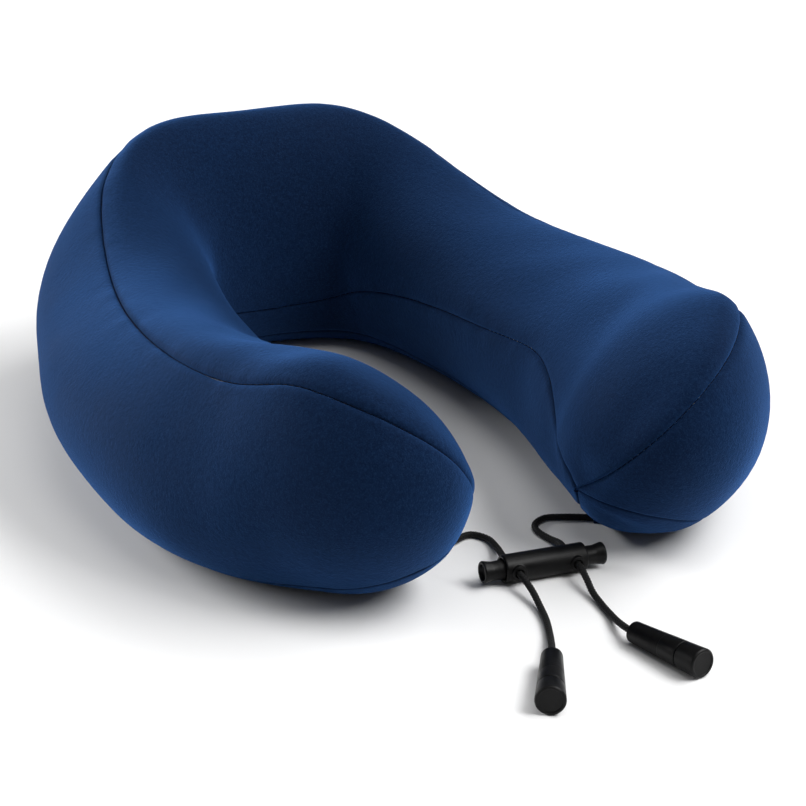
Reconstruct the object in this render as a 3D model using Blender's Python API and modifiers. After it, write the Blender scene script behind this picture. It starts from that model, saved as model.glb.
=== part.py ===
"""U-shaped travel neck pillow: a moulded foam core in a sewn plush cover that zips off at the back, with two
elastic cords at the tips, a two-cord toggle with a push button at each end, and bell-shaped cord ends.

+Z is up, the nape of the pillow is at +Y and its mouth opens towards -Y. The origin is on the floor under
the middle of the pillow. Sizes are in millimetres until mm() turns them into metres.
"""

import math

import bmesh
import bpy
from mathutils import Matrix, Vector
from mathutils.geometry import interpolate_bezier

# ---------------------------------------------------------------- driving dimensions, in millimetres
GAP = 0.3
COVER_THICKNESS = 1.2
FOAM_INSET = 2.2
SEAM_GAP = 0.75

# The pillow's spine and section at six stations from the nape (first) to where the tip begins (last).
# The left arm mirrors the right one.
SPINE_X = (0.0, 57.0, 84.5, 99.0, 85.5, 70.5)
SPINE_Y = (146.0, 133.5, 72.0, -23.5, -89.5, -129.0)
HALF_WIDTH = (29.0, 37.0, 42.5, 53.0, 51.0, 42.0)
TOP_HEIGHT = (115.0, 114.5, 81.0, 80.5, 88.5, 100.0)
WIDEST_HEIGHT = (50.0, 51.5, 50.0, 43.0, 33.0, 45.0)
LEAN = (0.0, 5.0, 4.0, 4.5, 2.0, 14.0)
CREST_SHIFT = (-3.0, 2.0, -3.0, 1.0, 6.5, 9.0)
OUTER_SEAM_DEG = (60.0, 76.0, 73.0, 77.0, 66.0, 69.0)
NECK_SEAM_DEG = (212.0, 202.5, 184.5, 162.0, 147.5, 191.0)
NECK_BASE_SEAM_DEG = 228.0
SIDE_BASE_SEAM_DEG = (335.5, 334.0, 318.0, 303.0, 300.0, 300.0)
TOP_ROUNDNESS = 1.62
BASE_ROUNDNESS = (2.4, 2.4, 2.4, 2.6, 2.6, 2.0)
BASE_SINK = 2.5
# The softened form lies this far inside its cage.
CAGE_SWELL = 2.0
TIP_LENGTH = 60.0
TIP_ROUNDNESS = 1.75
TIP_MIDDLE_HEIGHT = 61.0
# Where all seams meet at a tip, as a share of the half width inwards and of the half height down.
SEAM_POINT = (-0.80, -0.45)
BODY_RINGS = 15
TIP_RINGS = (0.94, 0.76, 0.46, 0.16)
TOP_ROWS = 5
NECK_ROWS = 2
BASE_ROWS = 5
SIDE_ROWS = 3

CORD_RADIUS = 1.35
CORD_HOLE_RADIUS = 1.75
CORD_SPACING = 6.5
LEFT_ROUTE = (
    (-46.5, -119.0, 1.45), (-36.5, -119.7, 1.45), (-25.5, -118.0, 1.45), (-14.0, -111.6, 1.5),
    (-6.0, -109.0, 1.5), (-1.6, -115.5, 1.6), (-2.9, -126.0, 2.6), (-6.2, -136.5, 4.6),
    (-8.1, -144.3, 5.6), (-8.7, -151.3, 5.75), (-9.3, -159.3, 5.6), (-9.9, -168.5, 4.0),
    (-11.6, -178.0, 2.1), (-14.6, -188.8, 1.5), (-19.3, -200.3, 1.7), (-24.2, -210.6, 3.2),
)
RIGHT_ROUTE = (
    (46.5, -115.5, 1.45), (41.2, -112.2, 1.45), (35.4, -109.4, 1.45),
    (28.7, -107.5, 1.5), (22.3, -111.0, 1.5), (19.9, -117.5, 1.5), (20.4, -125.5, 1.7),
    (20.6, -133.0, 3.0), (18.6, -140.2, 4.9), (16.3, -146.6, 5.65), (15.7, -153.3, 5.75),
    (15.0, -161.0, 5.5), (13.2, -169.5, 4.2), (11.6, -177.0, 2.4), (10.5, -186.0, 1.5),
    (9.2, -195.0, 1.6), (7.6, -203.0, 2.7),
)

TAB_LENGTH = 6.0
TAB_WIDTH = 6.0
TAB_THICKNESS = 0.7
TAB_CLEARANCE = 0.15

TOGGLE_CENTRE = (3.5, -152.3, 5.75)
TOGGLE_TURN_DEG = -4.5
BARREL_HALF = 17.0
BARREL_RADIUS = 5.6
BORE_RADIUS = 4.35
BOSS_RADIUS = 3.1
BOSS_REACH = 6.3
HOLE_AT = 12.2
STEM_RADIUS = 4.0
STEM_INNER_END = 7.5
BUTTON_TRAVEL = 3.0
BUTTON_END = 25.3
SPRING_RADIUS = 2.9
SPRING_WIRE = 0.3
SPRING_TURNS = 6

BELL_NARROW_RADIUS = 4.0
BELL_WIDE_RADIUS = 5.6
BELL_SHELL_LENGTH = 26.0
BELL_LENGTH = 36.0
BELL_WALL = 1.1
KNOT_AT = 9.4
KNOT_RADIUS = 2.6
LEFT_BELL_START = (-28.9, -219.3, 4.1)
LEFT_BELL_HEADING_DEG = 240.7
RIGHT_BELL_START = (7.3, -214.5, 4.1)
RIGHT_BELL_HEADING_DEG = 282.4

ZIP_AXIS_Y = 12.4
ZIP_HALF_ANGLE_DEG = 20.0
ZIP_MIDDLE_HEIGHT = 24.0
ZIP_MIDDLE_RADIUS = 161.9
ZIP_WALL_SLOPE_DEG = 15.0
TAPE_WIDTH = 6.0
TAPE_THICKNESS = 0.8
COIL_RADIUS = 1.0
ZIP_STEP_DEG = 2.0
SLIDER_ANGLE_DEG = 17.5
SLIDER_LENGTH = 8.0
SLIDER_WIDTH = 7.4
SLIDER_ROOF = 1.2
LUG_HEIGHT = 3.0
PIN_HEIGHT = 1.5
PULL_LENGTH = 17.0
PULL_LIFT_DEG = -4.0

# ---------------------------------------------------------------- colours
PLUSH = (0.010, 0.035, 0.120, 1.0)
FOAM = (0.80, 0.74, 0.52, 1.0)
BLACK = (0.012, 0.012, 0.013, 1.0)
TAPE_BLUE = (0.008, 0.022, 0.070, 1.0)
STEEL = (0.62, 0.62, 0.64, 1.0)


def mm(*values):
    return Vector(value * 0.001 for value in values)


# ---------------------------------------------------------------- scene helpers
def clear_scene():
    for item in list(bpy.data.objects):
        bpy.data.objects.remove(item, do_unlink=True)


def new_collection(name):
    collection = bpy.data.collections.new(name)
    bpy.context.scene.collection.children.link(collection)
    return collection


def material(name, colour, roughness, metallic=0.0):
    made = bpy.data.materials.new(name)
    made.use_nodes = True
    shader = made.node_tree.nodes["Principled BSDF"]
    shader.inputs["Base Color"].default_value = colour
    shader.inputs["Roughness"].default_value = roughness
    shader.inputs["Metallic"].default_value = metallic
    return made


def add_object(name, data, surface, parent=None):
    item = bpy.data.objects.new(name, data)
    PARTS.objects.link(item)
    if surface is not None:
        data.materials.append(surface)
    item.parent = parent
    return item


def add_empty(name, place, turn_deg=0.0, pitch_deg=0.0):
    item = bpy.data.objects.new(name, None)
    PARTS.objects.link(item)
    item.location = mm(*place)
    item.rotation_euler = (0.0, math.radians(pitch_deg), math.radians(turn_deg))
    return item


def mesh_from(name, build, surface, parent=None, smooth_deg=40.0):
    """An object whose mesh is filled in by build(bmesh)."""
    mesh = bpy.data.meshes.new(name)
    work = bmesh.new()
    build(work)
    bmesh.ops.recalc_face_normals(work, faces=work.faces)
    work.to_mesh(mesh)
    work.free()
    mesh.shade_smooth()
    mesh.set_sharp_from_angle(angle=math.radians(smooth_deg))
    return add_object(name, mesh, surface, parent)


def add_cutter(name, build, parent=None):
    cutter = mesh_from(name, build, None, parent)
    PARTS.objects.unlink(cutter)
    CUTTERS.objects.link(cutter)
    cutter.hide_render = True
    cutter.display_type = "WIRE"
    return cutter


def boolean(item, cutter, operation):
    modifier = item.modifiers.new(f"{operation}_{cutter.name}", "BOOLEAN")
    modifier.operation = operation
    modifier.object = cutter


def cylinder(work, radius, length, axis, centre=(0.0, 0.0, 0.0), segments=24):
    turn = Vector((0, 0, 1)).rotation_difference(Vector(axis)).to_matrix().to_4x4()
    place = Matrix.Translation(mm(*centre)) @ turn
    bmesh.ops.create_cone(
        work, cap_ends=True, segments=segments, depth=length * 0.001, matrix=place,
        radius1=radius * 0.001, radius2=radius * 0.001,
    )


def box(work, size, centre=(0.0, 0.0, 0.0)):
    place = Matrix.Translation(mm(*centre)) @ Matrix.Diagonal(mm(*size)).to_4x4()
    bmesh.ops.create_cube(work, size=1.0, matrix=place)


def turned(name, profile, surface, parent, steps=20):
    """A solid turned about its own Z from a closed outline of (radius, height) points at +X, which runs
    down the outer side from top to bottom. Its own Z is then laid along the parent's X."""
    mesh = bpy.data.meshes.new(name)
    points = [mm(radius, 0.0, height) for radius, height in profile]
    edges = [(i, i + 1) for i in range(len(points) - 1)]
    if profile[0][0] > 0.0:
        edges.append((len(points) - 1, 0))
    mesh.from_pydata(points, edges, [])
    item = add_object(name, mesh, surface, parent)
    item.rotation_euler = (0.0, math.radians(90.0), 0.0)
    screw = item.modifiers.new("turn", "SCREW")
    screw.axis = "Z"
    screw.steps = steps
    screw.render_steps = steps
    screw.use_merge_vertices = True
    screw.merge_threshold = 0.00001
    screw.use_smooth_shade = True
    return item


def tube(name, points, radius, surface, parent=None):
    """A POLY spline tube with filled caps through points in millimetres."""
    curve = bpy.data.curves.new(name, "CURVE")
    curve.dimensions = "3D"
    spline = curve.splines.new("POLY")
    spline.points.add(len(points) - 1)
    for place, point in zip(spline.points, points):
        place.co = (*mm(*point), 1.0)
    curve.bevel_depth = radius * 0.001
    curve.bevel_resolution = 2
    curve.render_resolution_u = 0
    curve.use_fill_caps = True
    return add_object(name, curve, surface, parent)


# ---------------------------------------------------------------- the pillow's form
def through_stations(values, odd=False):
    """A natural cubic curve through the six stations and their mirror images: nape 0, tip 1."""
    mirrored = [-v if odd else v for v in reversed(values[1:])]
    heights = mirrored + list(values)
    count = len(heights)
    step = 1.0 / (len(values) - 1)
    bends = [0.0] * count
    slope = [0.0] * count
    for i in range(1, count - 1):
        pull = 6.0 * (heights[i + 1] - 2.0 * heights[i] + heights[i - 1]) / step ** 2
        divisor = 4.0 + slope[i - 1]
        slope[i] = -1.0 / divisor
        bends[i] = (pull - bends[i - 1]) / divisor
    for i in range(count - 2, 0, -1):
        bends[i] += slope[i] * bends[i + 1]

    def value(t):
        where = (t + 1.0) / step
        i = min(max(int(where), 0), count - 2)
        b = where - i
        a = 1.0 - b
        bend = (a ** 3 - a) * bends[i] + (b ** 3 - b) * bends[i + 1]
        return a * heights[i] + b * heights[i + 1] + bend * step ** 2 / 6.0

    return value


spine_x = through_stations(SPINE_X, odd=True)
spine_y = through_stations(SPINE_Y)
half_width = through_stations(HALF_WIDTH)
top_height = through_stations(TOP_HEIGHT)
widest_height = through_stations(WIDEST_HEIGHT)
lean = through_stations(LEAN)
crest_shift = through_stations(CREST_SHIFT)
outer_seam = through_stations(OUTER_SEAM_DEG)
neck_seam = through_stations(NECK_SEAM_DEG)
side_base_seam = through_stations(SIDE_BASE_SEAM_DEG)
base_roundness = through_stations(BASE_ROUNDNESS)


def spine_frame(t):
    """Spine point and unit tangent, in plan; the outward normal is the tangent turned a quarter left."""
    ahead = 0.001
    dx = spine_x(t + ahead) - spine_x(t - ahead)
    dy = spine_y(t + ahead) - spine_y(t - ahead)
    length = math.hypot(dx, dy)
    return spine_x(t), spine_y(t), dx / length, dy / length


def power(value, exponent):
    return math.copysign(abs(value) ** exponent, value)


def section(t, angle, inset):
    """Distance outwards from the spine and height, for an angle that is 0 outwards and 90 at the top."""
    c = math.cos(angle)
    s = math.sin(angle)
    width = half_width(t) - inset + CAGE_SWELL
    widest = widest_height(t)
    if s > 0.0:
        out = width * power(c, 2.0 / TOP_ROUNDNESS)
        rise = top_height(t) - inset + CAGE_SWELL - widest
        height = widest + rise * s ** (2.0 / TOP_ROUNDNESS)
        out += crest_shift(t) * s ** 3
    else:
        out = width * power(c, 2.0 / base_roundness(t))
        height = widest - (widest - inset + BASE_SINK) * (-s) ** (2.0 / base_roundness(t))
        height = max(height, inset)
    out += lean(t) * (height - widest) / top_height(t)
    return out, height


def row_angles(t):
    """The angle of each lengthwise row: the outer seam first, over the top, down the neck wall, under."""
    outer = outer_seam(t)
    neck = neck_seam(t)
    marks = (outer, neck, NECK_BASE_SEAM_DEG, side_base_seam(t), outer + 360.0)
    counts = (TOP_ROWS, NECK_ROWS, BASE_ROWS, SIDE_ROWS)
    angles = []
    for start, end, count in zip(marks, marks[1:], counts):
        angles += [start + (end - start) * k / count for k in range(count)]
    return [math.radians(a) for a in angles]


def body_point(t, angle, inset):
    x, y, tx, ty = spine_frame(t)
    out, height = section(t, angle, inset)
    return Vector((x - ty * out, y + tx * out, height))


def tip_point(side, share, angle, inset):
    """Share 1 is the tip's rim and 0 the point where the seams meet; rows run straight between them."""
    across = share * math.cos(angle) + (1.0 - share) * SEAM_POINT[0]
    upward = share * math.sin(angle) + (1.0 - share) * SEAM_POINT[1]
    reach = min(math.hypot(across, upward), 1.0)
    x, y, tx, ty = spine_frame(side)
    out, height = section(side, math.atan2(upward, across), inset)
    out *= reach
    height = TIP_MIDDLE_HEIGHT + (height - TIP_MIDDLE_HEIGHT) * reach
    bulge = (1.0 - reach ** TIP_ROUNDNESS) ** (1.0 / TIP_ROUNDNESS)
    forward = side * (TIP_LENGTH - inset + CAGE_SWELL) * bulge
    return Vector((x - ty * out + tx * forward, y + tx * out + ty * forward, height))


def form_rings(inset):
    """Rings of points from the left tip's seam point round the nape to the right tip's."""
    rings = []
    for share in reversed(TIP_RINGS):
        rings.append([tip_point(-1.0, share, a, inset) for a in row_angles(-1.0)])
    for i in range(BODY_RINGS):
        t = -1.0 + 2.0 * i / (BODY_RINGS - 1)
        rings.append([body_point(t, a, inset) for a in row_angles(t)])
    for share in TIP_RINGS:
        rings.append([tip_point(1.0, share, a, inset) for a in row_angles(1.0)])
    return rings


def soften(item, levels=1):
    smooth = item.modifiers.new("soften", "SUBSURF")
    smooth.levels = levels
    smooth.render_levels = levels


def foam_core(surface):
    rings = form_rings(FOAM_INSET)

    def build(work):
        made = [[work.verts.new(point * 0.001) for point in ring] for ring in rings]
        rows = len(made[0])
        for ring, following in zip(made, made[1:]):
            for k in range(rows):
                after = (k + 1) % rows
                work.faces.new((ring[k], ring[after], following[after], following[k]))
        for end in (made[0], made[-1]):
            middle = sum((v.co for v in end), Vector()) / rows
            pole = work.verts.new(middle)
            for k in range(rows):
                work.faces.new((end[k], end[(k + 1) % rows], pole))

    item = mesh_from("foam_core", build, surface, smooth_deg=180.0)
    soften(item)
    return item


def cover_panel(name, first_row, row_count, surface):
    """One sewn panel over some of the rows. Its faces look inwards, so the thickness grows into the form, and
    its seam edges are held back a little."""
    rings = form_rings(0.0)
    total = len(rings[0])

    def build(work):
        made = []
        for ring in rings:
            line = [ring[(first_row + k) % total].copy() for k in range(row_count + 1)]
            line[0] += (line[1] - line[0]).normalized() * SEAM_GAP
            line[-1] += (line[-2] - line[-1]).normalized() * SEAM_GAP
            made.append([work.verts.new(point * 0.001) for point in line])
        for ring, following in zip(made, made[1:]):
            for k in range(row_count):
                work.faces.new((ring[k], following[k], following[k + 1], ring[k + 1]))

    mesh = bpy.data.meshes.new(name)
    work = bmesh.new()
    build(work)
    work.to_mesh(mesh)
    work.free()
    mesh.shade_smooth()
    item = add_object(name, mesh, surface)
    soften(item)
    shell = item.modifiers.new("thickness", "SOLIDIFY")
    shell.thickness = COVER_THICKNESS * 0.001
    shell.offset = 1.0
    return item


# ---------------------------------------------------------------- zip at the back
def zip_place(angle_deg, up=0.0, out=0.0):
    """A point on the zip's cone: degrees round from the nape, millimetres up its wall and out from it."""
    slope = math.radians(ZIP_WALL_SLOPE_DEG)
    radius = ZIP_MIDDLE_RADIUS + up * math.sin(slope) + out * math.cos(slope)
    height = ZIP_MIDDLE_HEIGHT + up * math.cos(slope) - out * math.sin(slope)
    turn = math.radians(90.0 + angle_deg)
    return Vector((radius * math.cos(turn), ZIP_AXIS_Y + radius * math.sin(turn), height))


def zip_strip(name, outline, half_angle_deg, surface):
    """A strip of constant outline of (up, out) points bent round the zip's axis."""
    steps = round(2.0 * half_angle_deg / ZIP_STEP_DEG)

    def build(work):
        rings = []
        for i in range(steps + 1):
            angle = -half_angle_deg + 2.0 * half_angle_deg * i / steps
            rings.append([work.verts.new(zip_place(angle, up, out) * 0.001) for up, out in outline])
        count = len(outline)
        for ring, following in zip(rings, rings[1:]):
            for k in range(count):
                after = (k + 1) % count
                work.faces.new((ring[k], ring[after], following[after], following[k]))
        work.faces.new(rings[0])
        work.faces.new(rings[-1])

    return mesh_from(name, build, surface)


def zipper(tape_surface, coil_surface, metal):
    inner = COIL_RADIUS + GAP / 2.0
    for name, side in (("upper", 1.0), ("lower", -1.0)):
        low = side * GAP / 2.0
        high = side * TAPE_WIDTH
        tape = [(low, 0.0), (high, 0.0), (high, TAPE_THICKNESS), (low, TAPE_THICKNESS)]
        zip_strip(f"zipper_tape_{name}", tape, ZIP_HALF_ANGLE_DEG, tape_surface)
        base = TAPE_THICKNESS + GAP
        coil = []
        for k in range(8):
            turn = math.radians(22.5 + 45.0 * k)
            up = side * inner + COIL_RADIUS * math.cos(turn)
            coil.append((up, base + COIL_RADIUS + COIL_RADIUS * math.sin(turn)))
        zip_strip(f"zipper_coil_{name}", coil, ZIP_HALF_ANGLE_DEG - 0.9, coil_surface)
    for name, side in (("left", 1.0), ("right", -1.0)):
        angle = side * (ZIP_HALF_ANGLE_DEG - 0.35)
        stop = add_empty(f"stop_place_{name}", (0.0, 0.0, 0.0))
        stop.matrix_world = zip_matrix(angle)

        def build(work):
            box(work, (0.9, 5.2, 2.4), (0.0, 0.0, TAPE_THICKNESS + GAP + 1.2))

        mesh_from(f"zipper_stop_{name}", build, metal, stop)


def zip_matrix(angle_deg):
    """Own X along the chain, own Y up the wall, own Z out from it."""
    place = zip_place(angle_deg)
    outward = (zip_place(angle_deg, 0.0, 1.0) - place).normalized()
    upward = (zip_place(angle_deg, 1.0, 0.0) - place).normalized()
    along = upward.cross(outward)
    turn = Matrix((along, upward, outward)).transposed().to_4x4()
    return Matrix.Translation(place * 0.001) @ turn


def zip_slider(metal):
    """A saddle that rides over both coils, with a raised lug that the pull's pin passes through."""
    place = add_empty("slider_place", (0.0, 0.0, 0.0))
    place.matrix_world = zip_matrix(SLIDER_ANGLE_DEG)
    floor = TAPE_THICKNESS + GAP
    tunnel = 2.0 * COIL_RADIUS + 2.0 * GAP
    height = tunnel + SLIDER_ROOF

    def build(work):
        box(work, (SLIDER_LENGTH, SLIDER_WIDTH, height), (0.0, 0.0, floor + height / 2.0))

    body = mesh_from("zipper_slider", build, metal, place)
    tunnel_width = 4.0 * COIL_RADIUS + GAP + 2.0 * GAP

    def hollow(work):
        box(work, (SLIDER_LENGTH * 2, tunnel_width, tunnel * 2), (0.0, 0.0, floor))

    top = floor + height

    def lug(work):
        box(work, (3.6, 1.6, LUG_HEIGHT + 1.0), (0.0, 0.0, top + LUG_HEIGHT / 2.0 - 0.5))

    def pin_hole(work):
        cylinder(work, 0.75, 6.0, (0, 1, 0), (0.0, 0.0, top + PIN_HEIGHT), 16)

    boolean(body, add_cutter("slider_tunnel", hollow, place), "DIFFERENCE")
    boolean(body, add_cutter("slider_lug", lug, place), "UNION")
    boolean(body, add_cutter("slider_pin_hole", pin_hole, place), "DIFFERENCE")

    pivot = add_empty("pull_pivot", (0.0, 0.0, 0.0))
    hinge = zip_matrix(SLIDER_ANGLE_DEG) @ Matrix.Translation(mm(0.0, 0.0, top + PIN_HEIGHT))
    pivot.matrix_world = hinge @ Matrix.Rotation(math.radians(PULL_LIFT_DEG), 4, "Y")

    def plate(work):
        box(work, (PULL_LENGTH, 5.6, 1.2), (-PULL_LENGTH / 2.0 + 1.2, 0.0, 0.0))

    def window(work):
        box(work, (5.4, 2.4, 4.0), (0.0, 0.0, 0.0))

    def pin(work):
        cylinder(work, 0.5, 5.0, (0, 1, 0), (0.0, 0.0, 0.0), 12)

    def eye(work):
        cylinder(work, 1.3, 4.0, (0, 0, 1), (-PULL_LENGTH + 4.0, 0.0, 0.0), 16)

    pull = mesh_from("zipper_pull", plate, metal, pivot)
    boolean(pull, add_cutter("pull_window", window, pivot), "DIFFERENCE")
    boolean(pull, add_cutter("pull_pin", pin, pivot), "UNION")
    boolean(pull, add_cutter("pull_eye", eye, pivot), "DIFFERENCE")


# ---------------------------------------------------------------- cords and their tabs
def smooth_route(route):
    """Points read every CORD_SPACING from a smooth curve through the route's own points."""
    points = [Vector(p) for p in route]
    handles = []
    for i, point in enumerate(points):
        before = points[max(i - 1, 0)]
        after = points[min(i + 1, len(points) - 1)]
        heading = (after - before).normalized()
        handles.append((point, heading))
    dense = []
    for (start, leave), (end, arrive) in zip(handles, handles[1:]):
        reach = (end - start).length / 3.0
        dense += interpolate_bezier(start, start + leave * reach, end - arrive * reach, end, 13)[:-1]
    dense.append(points[-1])
    total = sum((b - a).length for a, b in zip(dense, dense[1:]))
    count = round(total / CORD_SPACING)
    spacing = total / count
    even = [dense[0]]
    travelled = 0.0
    for a, b in zip(dense, dense[1:]):
        length = (b - a).length
        while len(even) < count and travelled + length >= spacing * len(even):
            share = (spacing * len(even) - travelled) / length
            even.append(a.lerp(b, share))
        travelled += length
    even.append(dense[-1])
    return even


def bell_axis(start, heading_deg, along):
    """A point on a cord end's axis, measured from its narrow end."""
    rise = (BELL_WIDE_RADIUS - BELL_NARROW_RADIUS) / BELL_LENGTH
    flat = math.cos(math.atan(rise)) * along
    turn = math.radians(heading_deg)
    across = Vector((math.cos(turn), math.sin(turn), rise))
    return Vector(start) + across * flat


def cord(name, route, bell_start, heading_deg, surface):
    inside = [bell_axis(bell_start, heading_deg, along) for along in (-3.5, 0.0, 3.5, KNOT_AT - KNOT_RADIUS - GAP)]
    return tube(name, smooth_route(list(route) + inside), CORD_RADIUS, surface)


def cord_tab(name, end, heading_deg, surface):
    """The sewn patch under the tip that the cord's root is stitched to, just behind the cord's first point."""
    place = add_empty(f"{name}_place", (end[0], end[1], TAB_THICKNESS / 2.0 + TAB_CLEARANCE), heading_deg)

    def build(work):
        box(work, (TAB_LENGTH, TAB_WIDTH, TAB_THICKNESS), (-TAB_LENGTH / 2.0 - GAP, 0.0, 0.0))

    tab = mesh_from(name, build, surface, place)
    rounding = tab.modifiers.new("rounding", "BEVEL")
    rounding.width = 0.0003
    rounding.segments = 2
    rounding.limit_method = "ANGLE"
    return tab


# ---------------------------------------------------------------- toggle
def toggle(surface, metal):
    place = add_empty("toggle_place", TOGGLE_CENTRE, TOGGLE_TURN_DEG)

    def outside(work):
        cylinder(work, BARREL_RADIUS, 2.0 * BARREL_HALF, (1, 0, 0), segments=32)

    def bore(work):
        cylinder(work, BORE_RADIUS, 2.0 * BARREL_HALF + 4.0, (1, 0, 0), segments=28)

    barrel = mesh_from("toggle_barrel", outside, surface, place)
    bosses = []
    holes = []
    for side in (-1.0, 1.0):
        at = side * HOLE_AT

        def boss(work):
            cylinder(work, BOSS_RADIUS, 2.0 * BOSS_REACH, (0, 1, 0), (at, 0.0, 0.0), 20)

        def hole(work):
            cylinder(work, CORD_HOLE_RADIUS, 20.0, (0, 1, 0), (at, 0.0, 0.0), 16)

        bosses.append(add_cutter(f"boss_{'right' if side > 0 else 'left'}", boss, place))
        holes.append(add_cutter(f"hole_{'right' if side > 0 else 'left'}", hole, place))
    for cutter in bosses:
        boolean(barrel, cutter, "UNION")
    boolean(barrel, add_cutter("barrel_bore", bore, place), "DIFFERENCE")
    for cutter in holes:
        boolean(barrel, cutter, "DIFFERENCE")

    # Outline of a button from its end face to the stem's inner end: a cupped head, a waist, then the stem.
    outline = (
        (0.0, BUTTON_END - 1.4), (2.9, BUTTON_END - 1.4), (3.3, BUTTON_END), (4.3, BUTTON_END),
        (4.45, BUTTON_END - 0.8), (3.85, BUTTON_END - 3.0), (3.7, BUTTON_END - 5.0),
        (STEM_RADIUS, BARREL_HALF - 0.6), (STEM_RADIUS, STEM_INNER_END + 0.4),
        (STEM_RADIUS - 0.4, STEM_INNER_END), (0.0, STEM_INNER_END),
    )
    for name, side in (("left", -1.0), ("right", 1.0)):
        seat = add_empty(f"button_place_{name}", (0.0, 0.0, 0.0))
        seat.parent = place
        seat.rotation_euler = (0.0, 0.0, 0.0 if side > 0 else math.pi)
        button = turned(f"toggle_button_{name}", outline, surface, seat)
        slot_length = 2.0 * CORD_HOLE_RADIUS + BUTTON_TRAVEL

        def slot(work):
            middle = HOLE_AT + BUTTON_TRAVEL / 2.0
            box(work, (slot_length, 12.0, 2.0 * CORD_HOLE_RADIUS), (middle, 0.0, 0.0))

        boolean(button, add_cutter(f"slot_{name}", slot, seat), "DIFFERENCE")

    half = STEM_INNER_END - GAP - SPRING_WIRE
    per_turn = 8
    coil = []
    for i in range(SPRING_TURNS * per_turn + 1):
        turn = 2.0 * math.pi * i / per_turn
        along = -half + 2.0 * half * i / (SPRING_TURNS * per_turn)
        coil.append((along, SPRING_RADIUS * math.cos(turn), SPRING_RADIUS * math.sin(turn)))
    tube("toggle_spring", coil, SPRING_WIRE, metal, place)


# ---------------------------------------------------------------- cord ends
def cord_end(side_name, start, heading_deg, surface, cord_surface):
    """A tapered bell on the floor, its narrow end towards the cord, closed by a lid; a knot sits inside."""
    rise = math.degrees(math.atan2(BELL_WIDE_RADIUS - BELL_NARROW_RADIUS, BELL_LENGTH))
    place = add_empty(f"cord_end_{side_name}", start, heading_deg, -rise)

    def outer(along):
        return BELL_NARROW_RADIUS + (BELL_WIDE_RADIUS - BELL_NARROW_RADIUS) * along / BELL_LENGTH

    seam = BELL_SHELL_LENGTH
    shell = (
        (outer(seam) - BELL_WALL, seam), (outer(seam), seam), (outer(seam / 2), seam / 2),
        (outer(0.8), 0.8), (BELL_NARROW_RADIUS - 0.8, 0.0), (CORD_HOLE_RADIUS, 0.0),
        (CORD_HOLE_RADIUS, 2.2), (BELL_NARROW_RADIUS - BELL_WALL, 3.4),
    )
    turned(f"cord_end_shell_{side_name}", shell, surface, place)
    plug = outer(seam) - BELL_WALL - GAP
    lid = (
        (0.0, BELL_LENGTH), (outer(BELL_LENGTH) - 0.9, BELL_LENGTH), (outer(BELL_LENGTH), BELL_LENGTH - 0.9),
        (outer(seam + GAP), seam + GAP), (plug, seam + GAP), (plug - 0.2, seam - 4.0), (0.0, seam - 4.0),
    )
    turned(f"cord_end_cap_{side_name}", lid, surface, place)

    def knot(work):
        bmesh.ops.create_uvsphere(
            work, u_segments=12, v_segments=8, radius=KNOT_RADIUS * 0.001, matrix=Matrix.Translation(mm(KNOT_AT, 0, 0))
        )

    mesh_from(f"cord_knot_{side_name}", knot, cord_surface, place)


# ---------------------------------------------------------------- assembly
clear_scene()
PARTS = new_collection("neck_pillow")
CUTTERS = new_collection("cutters")

plush = material("plush_navy", PLUSH, 0.9)
foam = material("foam_cream", FOAM, 0.85)
black_plastic = material("plastic_black", BLACK, 0.38)
cord_black = material("cord_black", BLACK, 0.75)
tape_navy = material("zip_tape_navy", TAPE_BLUE, 0.8)
steel = material("steel", STEEL, 0.3, 1.0)

foam_core(foam)
first = 0
for panel, rows in (("top", TOP_ROWS), ("neck", NECK_ROWS), ("base", BASE_ROWS), ("side", SIDE_ROWS)):
    cover_panel(f"cover_{panel}", first, rows, plush)
    first += rows
zipper(tape_navy, tape_navy, steel)
zip_slider(steel)
cord("cord_left", LEFT_ROUTE, LEFT_BELL_START, LEFT_BELL_HEADING_DEG, cord_black)
cord("cord_right", RIGHT_ROUTE, RIGHT_BELL_START, RIGHT_BELL_HEADING_DEG, cord_black)
cord_tab("cord_tab_left", LEFT_ROUTE[0], -4.0, plush)
cord_tab("cord_tab_right", RIGHT_ROUTE[0], 148.0, plush)
toggle(black_plastic, steel)
cord_end("left", LEFT_BELL_START, LEFT_BELL_HEADING_DEG, black_plastic, cord_black)
cord_end("right", RIGHT_BELL_START, RIGHT_BELL_HEADING_DEG, black_plastic, cord_black)
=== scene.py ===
import math

import bmesh
import bpy
import numpy as np
from mathutils import Matrix, Vector, noise


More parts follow.
